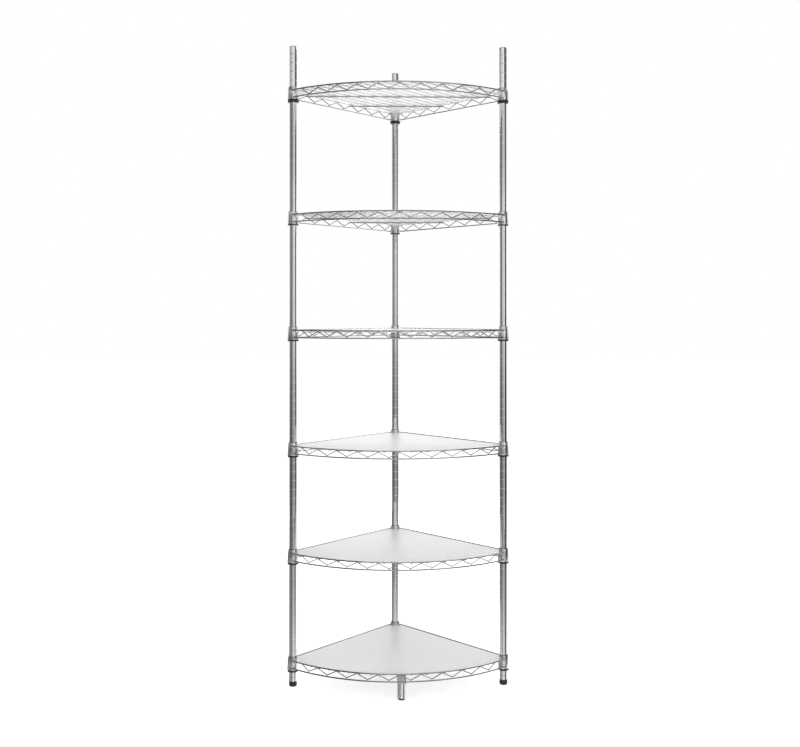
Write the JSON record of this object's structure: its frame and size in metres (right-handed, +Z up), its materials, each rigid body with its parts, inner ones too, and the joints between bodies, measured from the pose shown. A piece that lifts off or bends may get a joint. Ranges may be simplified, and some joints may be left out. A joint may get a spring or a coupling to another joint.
{
  "type": "corner shelf unit",
  "caption": "Tall corner shelf unit of chromed wire: quarter-round tiers with bowed truss edges and flat plastic liners, clipped with tapered collars to round grooved posts.",
  "frame": {"origin": "on the floor, below the middle of the unit in plan", "axes": "+Z up, +Y towards the corner of the room where the back post stands, +X to the right as seen from the bowed front"},
  "size_m": [0.6332, 0.4394, 1.8286],
  "materials": {
    "chrome": "bright chrome plating",
    "black_plastic": "moulded, satin black",
    "liner_plastic": "smooth pale sheet, satin"
  },
  "bodies": {
    "frame": {"post_left_section_1": "chrome", "joint_plug_left_1": "chrome", "post_left_section_2": "chrome", "joint_plug_left_2": "chrome", "post_left_section_3": "chrome", "joint_plug_left_3": "chrome", "post_left_section_4": "chrome", "post_cap_left": "chrome", "post_right_section_1": "chrome", "joint_plug_right_1": "chrome", "post_right_section_2": "chrome", "joint_plug_right_2": "chrome", "post_right_section_3": "chrome", "joint_plug_right_3": "chrome", "post_right_section_4": "chrome", "post_cap_right": "chrome", "post_back_section_1": "chrome", "joint_plug_back_1": "chrome", "post_back_section_2": "chrome", "joint_plug_back_2": "chrome", "post_back_section_3": "chrome", "joint_plug_back_3": "chrome", "post_back_section_4": "chrome", "post_cap_back": "chrome", "wire_shelf_1": "chrome", "shelf_liner_1": "liner_plastic", "sleeve_left_1": "black_plastic", "sleeve_right_1": "black_plastic", "sleeve_back_1": "black_plastic", "wire_shelf_2": "chrome", "shelf_liner_2": "liner_plastic", "sleeve_left_2": "black_plastic", "sleeve_right_2": "black_plastic", "sleeve_back_2": "black_plastic", "wire_shelf_3": "chrome", "shelf_liner_3": "liner_plastic", "sleeve_left_3": "black_plastic", "sleeve_right_3": "black_plastic", "sleeve_back_3": "black_plastic", "wire_shelf_4": "chrome", "shelf_liner_4": "liner_plastic", "sleeve_left_4": "black_plastic", "sleeve_right_4": "black_plastic", "sleeve_back_4": "black_plastic", "wire_shelf_5": "chrome", "shelf_liner_5": "liner_plastic", "sleeve_left_5": "black_plastic", "sleeve_right_5": "black_plastic", "sleeve_back_5": "black_plastic", "wire_shelf_6": "chrome", "shelf_liner_6": "liner_plastic", "sleeve_left_6": "black_plastic", "sleeve_right_6": "black_plastic", "sleeve_back_6": "black_plastic", "front_leg": "chrome"},
    "foot_left": {"levelling_foot_left": "black_plastic"},
    "foot_right": {"levelling_foot_right": "black_plastic"},
    "foot_back": {"levelling_foot_back": "black_plastic"},
    "foot_front": {"front_leg_glide": "black_plastic"}
  },
  "joints": [
    {"name": "foot_left_level", "type": "slide", "parent": "frame", "child": "foot_left", "axis": [0, 0, 1], "range_m": [-0.012, 0]},
    {"name": "foot_right_level", "type": "slide", "parent": "frame", "child": "foot_right", "axis": [0, 0, 1], "range_m": [-0.012, 0]},
    {"name": "foot_back_level", "type": "slide", "parent": "frame", "child": "foot_back", "axis": [0, 0, 1], "range_m": [-0.012, 0]},
    {"name": "foot_front_level", "type": "slide", "parent": "frame", "child": "foot_front", "axis": [0, 0, 1], "range_m": [-0.012, 0]}
  ]
}
